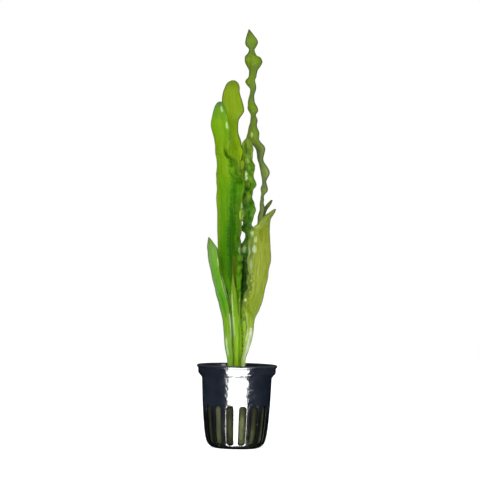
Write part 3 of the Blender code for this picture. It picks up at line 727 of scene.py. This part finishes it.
def leaf_thickness(u, blade, leaf):
    """Thick round stalk below, thin blade above with a midrib and raised veins, in mm."""
    stalk = STALK_THICKNESS * np.sqrt(np.clip(1.02 - u * u, 0.02, 1.0)) + 0.1
    veins = VEIN_RISE * np.exp(-((((u + 1) / 2 * leaf["veins"]) % 1.0 - 0.5) / 0.14) ** 2)
    midrib = leaf["midrib"] * np.exp(-(u / MIDRIB_WIDTH) ** 2)
    thin = BLADE_THICKNESS + veins + midrib + 0.08 * (1 - u * u)
    return stalk * (1 - blade) + thin * blade


def grid_faces(rows, columns, first):
    """Four-cornered faces of a grid of points numbered row by row from first."""
    index = first + np.arange(rows * columns).reshape(rows, columns)
    corners = (index[:-1, :-1], index[:-1, 1:], index[1:, 1:], index[1:, :-1])
    return np.stack(corners, axis=-1).reshape(-1, 4)


def make_leaf(name, leaf):
    """A closed blade and stalk: the sheet's front and back, joined round its border."""
    heights = leaf_rows(leaf["stations"])
    sheet, u, blade, crest, inside = leaf_sheet(leaf, heights)
    rows, columns = sheet.shape[:2]
    half = 0.5 * leaf_thickness(np.broadcast_to(u, (rows, columns)), blade, leaf)[..., None]
    normals = surface_normals(sheet)
    front, back = sheet + normals * half, sheet - normals * half
    for side in (front, back):
        side[..., 2] = np.maximum(side[..., 2], CROWN_HEIGHT)
    points = np.concatenate([front.reshape(-1, 3), back.reshape(-1, 3)])
    count = rows * columns
    faces = [grid_faces(rows, columns, 0), grid_faces(rows, columns, count)[:, ::-1]]
    index = np.arange(count).reshape(rows, columns)
    border = np.concatenate([index[0, :-1], index[:-1, -1], index[-1, :0:-1], index[:0:-1, 0]])
    following = np.roll(border, -1)
    faces.append(np.stack([following, border, border + count, following + count], axis=-1))
    share = (heights - heights[0]) / (heights[-1] - heights[0])
    uv = np.stack(np.broadcast_arrays((u + 1) / 2, share[:, None]), axis=-1).reshape(-1, 2)
    quads = np.concatenate(faces).tolist()
    piece = mesh_object(name + "_blade", points, quads, np.concatenate([uv, uv]))
    for title, values in (("crest", crest), ("inside", inside)):
        layer = piece.data.attributes.new(title, "FLOAT", "POINT")
        layer.data.foreach_set("value", np.tile(values.ravel(), 2).astype(np.float32))
    piece.data.materials.append(leaf_material(name, leaf))
    stand_for(piece, [name])
    return piece


def wall_radius(height):
    return float(smooth_through(WALL_HEIGHTS, WALL_RADII, [height])[0])


def pot_profile():
    """Inner side from the floor's centre up, over the rolled rim, and down the outer side."""
    heights = [36.0, 28.0, 22.0, 16.0, 12.0, 9.0, 6.6, 4.6, 3.0, 1.6, 0.9, 0.5, 0.2]
    body_inside = wall_radius(BODY_TOP) - WALL
    collar_inside = COLLAR_RADIUS - WALL
    inner = [(0.0, POT_FLOOR), (8.0, POT_FLOOR), (12.0, POT_FLOOR), (13.6, POT_FLOOR + 0.1)]
    for height in reversed(heights[:-4]):
        inner.append((wall_radius(height) - WALL, height + 0.3 * WALL))
    inner += [(body_inside, BODY_TOP - 0.2), (body_inside + 0.2, BODY_TOP + 0.2)]
    inner += [(collar_inside - 0.15, COLLAR_FOOT - 0.3), (collar_inside, COLLAR_FOOT + 0.2)]
    inner.append((collar_inside + 0.2, POT_HEIGHT - 2.0))
    for step in range(17):
        angle = math.radians(160 - 225 * step / 16)
        inner.append((RIM_RADIUS - LIP_RADIUS + LIP_RADIUS * math.cos(angle),
                      POT_HEIGHT - LIP_RADIUS + LIP_RADIUS * math.sin(angle)))
    outer = [(COLLAR_RADIUS + 0.12, POT_HEIGHT - 2.05), (COLLAR_RADIUS + 0.04, POT_HEIGHT - 2.4)]
    outer += [(COLLAR_RADIUS, COLLAR_FOOT + 1.6), (COLLAR_RADIUS - 0.04, COLLAR_FOOT + 0.4)]
    outer += [(COLLAR_RADIUS - 0.2, COLLAR_FOOT - 0.1), (COLLAR_RADIUS - 0.6, COLLAR_FOOT - 0.6)]
    shoulder = [(22.25, 44.3), (21.85, 43.85), (21.68, 43.3), (21.62, 42.4)]
    outer += shoulder
    outer += [(wall_radius(height), height) for height in heights]
    outer += [(WALL_RADII[0], 0.0), (9.0, 0.0), (0.0, 0.0)]
    return inner + outer


def ring_faces(rings, steps):
    """Faces between rings of points numbered ring by ring, and triangles that close the first
    and the last ring at the two points that follow them all."""
    index = np.arange(rings * steps).reshape(rings, steps)
    after = np.roll(index, -1, axis=1)
    faces = np.stack([index[:-1], index[1:], after[1:], after[:-1]], axis=-1)
    faces = faces.reshape(-1, 4).tolist()
    closing = rings * steps
    faces += [[int(i), int(j), closing] for i, j in zip(index[0], after[0])]
    faces += [[int(j), int(i), closing + 1] for i, j in zip(index[-1], after[-1])]
    return faces


def turned_mesh(name, profile, steps):
    """A closed solid turned about Z from (radius, height) points in mm that start and end on Z."""
    rings = np.array(profile[1:-1])
    angles = np.arange(steps) * math.tau / steps
    x = rings[:, :1] * np.cos(angles)
    y = rings[:, :1] * np.sin(angles)
    z = np.broadcast_to(rings[:, 1:], x.shape)
    points = np.stack([x, y, z], axis=-1).reshape(-1, 3)
    points = np.concatenate([points, [[0, 0, profile[0][1]], [0, 0, profile[-1][1]]]])
    return mesh_object(name, points, ring_faces(len(rings), steps))


def slot_cutter():
    """A ring of round-cornered blocks, one for each slot."""
    bm = bmesh.new()
    inner, outer = SLOT_REACH
    for index in range(SLOT_COUNT):
        block = bmesh.ops.create_cube(bm, size=1.0)["verts"]
        bmesh.ops.scale(bm, vec=(outer - inner, SLOT_WIDTH, SLOT_TOP - SLOT_FOOT), verts=block)
        edges = {edge for vert in block for edge in vert.link_edges}
        lengthwise = [e for e in edges if abs(e.verts[0].co.x - e.verts[1].co.x) > 1.0]
        rounded = bmesh.ops.bevel(bm, geom=lengthwise, offset=SLOT_CORNER, segments=8, profile=0.5,
                                  affect="EDGES")
        block = list({v for face in rounded["faces"] for v in face.verts})
        middle = Vector(((outer + inner) / 2, 0.0, (SLOT_TOP + SLOT_FOOT) / 2))
        angle = math.tau * (index + 0.5) / SLOT_COUNT + math.pi / 2
        for vert in block:
            moved = vert.co + middle
            vert.co.x = moved.x * math.cos(angle) - moved.y * math.sin(angle)
            vert.co.y = moved.x * math.sin(angle) + moved.y * math.cos(angle)
            vert.co.z = moved.z
    bmesh.ops.scale(bm, vec=(MM, MM, MM), verts=bm.verts)
    mesh = bpy.data.meshes.new("slot_cutter")
    bm.to_mesh(mesh)
    bm.free()
    return link(bpy.data.objects.new("slot_cutter", mesh))


def apply_modifiers(item):
    bpy.context.view_layer.update()
    depsgraph = bpy.context.evaluated_depsgraph_get()
    mesh = bpy.data.meshes.new_from_object(item.evaluated_get(depsgraph))
    item.modifiers.clear()
    item.data = mesh


def make_pot():
    """The turned pot with its slots cut, its edges rounded and the inside of its wall dull."""
    pot = turned_mesh("pot_shell", pot_profile(), TURNING_STEPS)
    cutter = slot_cutter()
    cut = pot.modifiers.new("slots", "BOOLEAN")
    cut.operation = "DIFFERENCE"
    cut.solver = "EXACT"
    cut.object = cutter
    apply_modifiers(pot)
    bpy.data.objects.remove(cutter, do_unlink=True)
    bevel = pot.modifiers.new("edges", "BEVEL")
    bevel.width = EDGE_ROUNDING * MM
    bevel.segments = 2
    bevel.limit_method = "ANGLE"
    bevel.angle_limit = math.radians(50)
    bevel.harden_normals = True
    apply_modifiers(pot)
    pot.data.shade_smooth()
    pot.data.set_sharp_from_angle(angle=math.radians(38))
    pot.data.materials.clear()
    pot.data.materials.append(pot_material("pot_plastic", GLOSS))
    pot.data.materials.append(pot_material("pot_plastic_cut", GLOSS_INSIDE))
    for face in pot.data.polygons:
        x, y, height = face.center / MM
        inside = math.hypot(x, y) < wall_radius(height) - SKIN_DEPTH
        if inside and SLOT_FOOT - 1 < height < SLOT_TOP + 1:
            face.material_index = 1
    stand_for(pot, ["pot"])
    return pot


def wool_side_radius(angle, height):
    """Outer radius of the wool, bulging a little into each slot."""
    radius = wall_radius(height) - WALL - WOOL_CLEARANCE
    pitch = math.tau / SLOT_COUNT
    off_slot = abs(((angle - math.pi / 2) / pitch) % 1.0 - 0.5)
    in_slot = max(0.0, 1.0 - (off_slot / 0.24) ** 2)
    in_height = float(eased(height, SLOT_FOOT + 1.0, SLOT_FOOT + 4.0)
                      * eased(SLOT_TOP - height, 1.0, 4.0))
    return radius + WOOL_BULGE * in_slot * in_height


def wool_point(angle, path):
    """Point of the wool's skin: path 0 to 1 is up the side, 1 to 2 is in over the top."""
    on_side = path <= 1.0
    if on_side:
        height = WOOL_FOOT + (WOOL_TOP - 0.9 - POT_FLOOR) * path
        radius = wool_side_radius(angle, height) - 30 * max(0.0, 0.04 - path)
    else:
        share = path - 1.0
        radius = wool_side_radius(angle, WOOL_TOP - 0.4) * (1.0 - share) + 0.01
        height = WOOL_TOP - CROWN_POCKET * math.exp(-((radius / CROWN_RADIUS) ** 4)) - 0.3
        height -= 1.2 * max(0.0, radius - 18.5) ** 2 / 4
    spot = Vector((radius * math.cos(angle), radius * math.sin(angle), height))
    rough = noise.fractal(spot * 0.9, 0.7, 2.1, 4)
    if on_side:
        radius += SIDE_ROUGHNESS * rough
    else:
        height += TOP_ROUGHNESS * rough
    return (radius * math.cos(angle), radius * math.sin(angle), height)


def wool_skin():
    """Points and faces of the closed plug, whose rings run from its foot up and in to the top."""
    points = []
    for row in range(WOOL_ROWS + 1):
        path = min(2.0 * row / WOOL_ROWS, 1.998)
        points += [wool_point(math.tau * k / WOOL_TURNS, path) for k in range(WOOL_TURNS)]
    points += [(0.0, 0.0, WOOL_FOOT), (0.0, 0.0, points[-1][2])]
    inward_faces = ring_faces(WOOL_ROWS + 1, WOOL_TURNS)
    return points, [face[:1] + face[:0:-1] for face in inward_faces]


def fibre_spine(angle, path, heading, length, raised, curl):
    """Points along one fibre, which lies on the wool's side or top and rises off it midway."""
    on_side = path < 1
    around = WOOL_RADIUS if on_side else max(3.0, WOOL_RADIUS * (2.0 - path))
    onward = WOOL_TOP - POT_FLOOR if on_side else WOOL_RADIUS
    lowest, highest = (0.02, 1.0) if on_side else (1.01, 1.9)
    spine = []
    for step in range(FIBRE_STEPS + 1):
        reach = length * (step / FIBRE_STEPS - 0.5)
        heading_here = heading + curl * (step / FIBRE_STEPS - 0.5)
        step_angle = angle + reach * math.cos(heading_here) / around
        step_path = path + reach * math.sin(heading_here) / onward
        x, y, height = wool_point(step_angle, min(max(step_path, lowest), highest))
        out = np.array([x, y, 0.0]) / math.hypot(x, y) if on_side else np.array([0.0, 0.0, 1.0])
        rise = out * raised * math.sin(math.pi * step / FIBRE_STEPS)
        spine.append(np.array([x, y, height]) + rise)
    return np.array(spine)


def add_fibre(points, faces, spine, width):
    """A three-sided tube along the spine, pointed at its ends."""
    runs = np.gradient(spine, axis=0)
    runs /= np.maximum(np.linalg.norm(runs, axis=1, keepdims=True), 1e-9)
    first = len(points)
    last_step = len(spine) - 1
    for step, (spot, run) in enumerate(zip(spine, runs)):
        side = np.cross(run, ASLANT)
        side /= max(np.linalg.norm(side), 1e-9)
        other = np.cross(run, side)
        radius = 0.5 * width * (0.35 if step in (0, last_step) else 1.0)
        for corner in range(3):
            angle = math.tau * corner / 3
            points.append(tuple(spot + radius * (side * math.cos(angle) + other * math.sin(angle))))
    for step in range(last_step):
        for corner in range(3):
            a = first + 3 * step + corner
            b = first + 3 * step + (corner + 1) % 3
            faces.append([a, b, b + 3, a + 3])
    faces.append([first + 2, first + 1, first])
    end = first + 3 * last_step
    faces.append([end, end + 1, end + 2])


def make_wool():
    """The wool's skin with thousands of short fibres lying on it, in one mesh."""
    points, faces = wool_skin()
    random = np.random.default_rng(7)
    for fibre in range(FIBRES):
        angle = random.uniform(0, math.tau)
        paths = PATHS_UP_SIDE if fibre % FIBRES_PER_TOP_FIBRE else PATHS_OVER_TOP
        path = random.uniform(*paths)
        heading = random.normal(0.0, 0.9) + (math.pi / 2 if path < 1 else 0.0)
        length = random.uniform(*FIBRE_LENGTHS)
        width = random.uniform(*FIBRE_WIDTHS)
        raised = random.uniform(*FIBRE_LIFTS)
        curl = random.normal(0.0, 0.25)
        spine = fibre_spine(angle, path, heading, length, raised, curl)
        add_fibre(points, faces, spine, width)
    wool = mesh_object("wool_plug", points, faces)
    wool.data.materials.append(wool_material())
    stand_for(wool, ["stone_wool"])


def make_floor():
    """A pale round floor that no reflection shows and that lets the light of the low panel by."""
    bpy.ops.mesh.primitive_circle_add(vertices=96, radius=STUDIO_RADIUS, fill_type="NGON")
    floor = bpy.context.object
    floor.name = "floor"
    floor.data.materials.append(floor_material())
    floor.visible_glossy = False
    floor.visible_shadow = False


def make_light(name, place, aim, size, power):
    data = bpy.data.lights.new(name, "AREA")
    data.shape = "RECTANGLE"
    data.size, data.size_y = size
    data.energy = power
    light = link(bpy.data.objects.new(name, data))
    light.location = place
    light.rotation_euler = (Vector(aim) - Vector(place)).to_track_quat("-Z", "Y").to_euler()
    light.visible_camera = False
    return light


def make_world():
    """White to the camera, and to all else a pale sky over a dark ground."""
    world = bpy.data.worlds.new("studio")
    bpy.context.scene.world = world
    g = Graph(world)

    def background(strength):
        return g.add("Background", Color=WHITE, Strength=strength).outputs[0]

    rays = g.add("LightPath").outputs
    direction = g.add("TexCoord").outputs["Generated"]
    up = g.add("SeparateXYZ", Vector=direction).outputs[2]
    sky = g.mix_shaders(rays["Is Glossy Ray"], background(SKY), background(SKY_IN_GLOSS))
    around = g.mix_shaders(g.math("GREATER_THAN", up, 0.0), background(0.0), sky)
    seen = g.mix_shaders(rays["Is Camera Ray"], around, background(1.0))
    g.surface(seen, "OutputWorld")


def make_lights(pot, leaves):
    """A soft key from the front left, fills, and panels in front that only gloss reflects."""
    make_light("key", place=(-0.4, -1.15, 0.7), aim=(0, 0, 0.13), size=(0.5, 0.5), power=15.0)
    make_light("fill", place=(0.8, -1.0, 0.3), aim=(0, 0, 0.12), size=(0.7, 0.7), power=8.0)
    back = make_light("back", place=(0.3, 1.0, 0.8), aim=(0, 0, 0.14), size=(0.6, 0.6), power=5.0)
    back.visible_glossy = False
    panel = make_light("pot_panel", place=(0.05, -0.9, -0.19), aim=(0.05, 0, -0.19),
                       size=(1.16, 0.5), power=60.0)
    lower = make_light("pot_panel_low", place=(0.03, -0.5, -0.65), aim=(0.03, 0, 0.0),
                       size=(0.76, 0.9), power=72.0)
    strip = make_light("leaf_strip", place=(-0.2, -1.0, 0.2), aim=(0, 0, 0.2),
                       size=(0.1, 0.5), power=2.0)
    for light, receivers in ((panel, [pot]), (lower, [pot]), (strip, leaves)):
        light.visible_diffuse = False
        light.visible_transmission = False
        lit = bpy.data.collections.new(light.name)
        for piece in receivers:
            lit.objects.link(piece)
        light.light_linking.receiver_collection = lit


def make_camera():
    data = bpy.data.cameras.new("camera")
    data.sensor_width = SENSOR_WIDTH
    data.lens = SENSOR_WIDTH * CAMERA_DISTANCE / VIEW_WIDTH
    data.clip_start, data.clip_end = 0.05, 50.0
    camera = link(bpy.data.objects.new("camera", data))
    camera.location = (CAMERA_ACROSS, -CAMERA_DISTANCE, CAMERA_HEIGHT)
    camera.rotation_euler = (math.radians(90), math.radians(CAMERA_ROLL_DEG), 0.0)
    bpy.context.scene.camera = camera


def main():
    make_camera()
    make_world()
    make_floor()
    pot = make_pot()
    make_wool()
    leaves = [make_leaf(name, leaf) for name, leaf in LEAVES.items()]
    make_lights(pot, leaves)
    bpy.context.scene.view_settings.view_transform = "Standard"


main()
